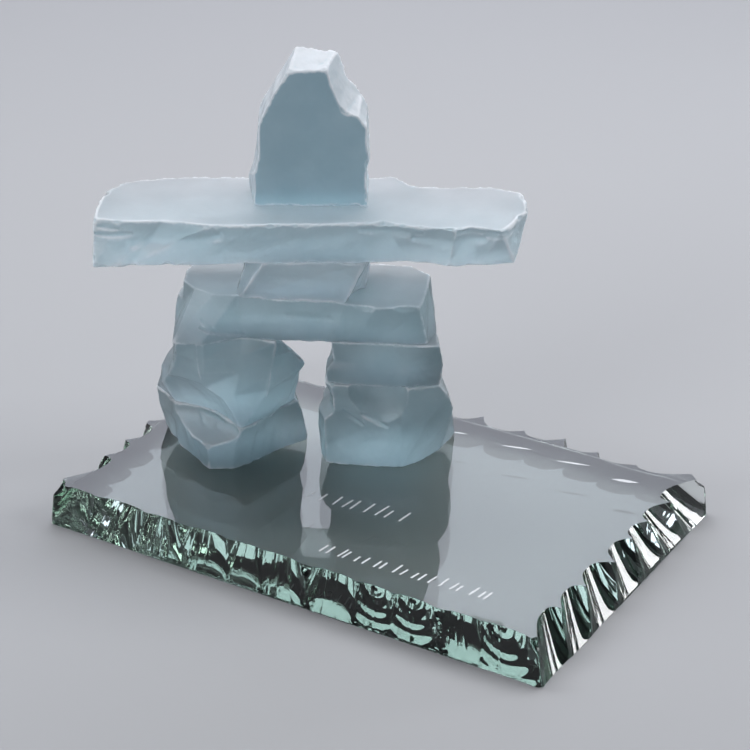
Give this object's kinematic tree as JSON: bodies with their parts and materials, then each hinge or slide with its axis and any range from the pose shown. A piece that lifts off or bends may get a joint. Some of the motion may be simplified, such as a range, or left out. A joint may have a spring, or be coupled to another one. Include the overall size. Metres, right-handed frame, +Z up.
{
  "type": "glass inukshuk sculpture",
  "caption": "Stone man stacked from frosted slabs of broken glass, with legs, hips, arms and a head, standing on a clear rectangular glass plate with knapped edges.",
  "frame": {"origin": "middle of the plate's underside", "axes": "+X along the plate's long edge, +Y across it to the back, +Z up; the figure is turned 28.5 degrees about Z, its right arm forward of its left along +X"},
  "size_m": [0.2414, 0.156, 0.1998],
  "materials": {
    "clear_glass": "polished clear glass with a green cast through its edges, faces flat, edges chipped into shell-shaped flakes",
    "frosted_glass": "sandblasted pale blue-grey glass, matt all over, with softened fracture marks"
  },
  "bodies": {
    "root": {"base_plate": "clear_glass", "left_foot_stone": "frosted_glass", "left_leg_stone": "frosted_glass", "right_foot_stone": "frosted_glass", "right_leg_stone": "frosted_glass", "hip_stone": "frosted_glass", "torso_stone": "frosted_glass", "arms_stone": "frosted_glass", "head_stone": "frosted_glass"}
  },
  "joints": []
}
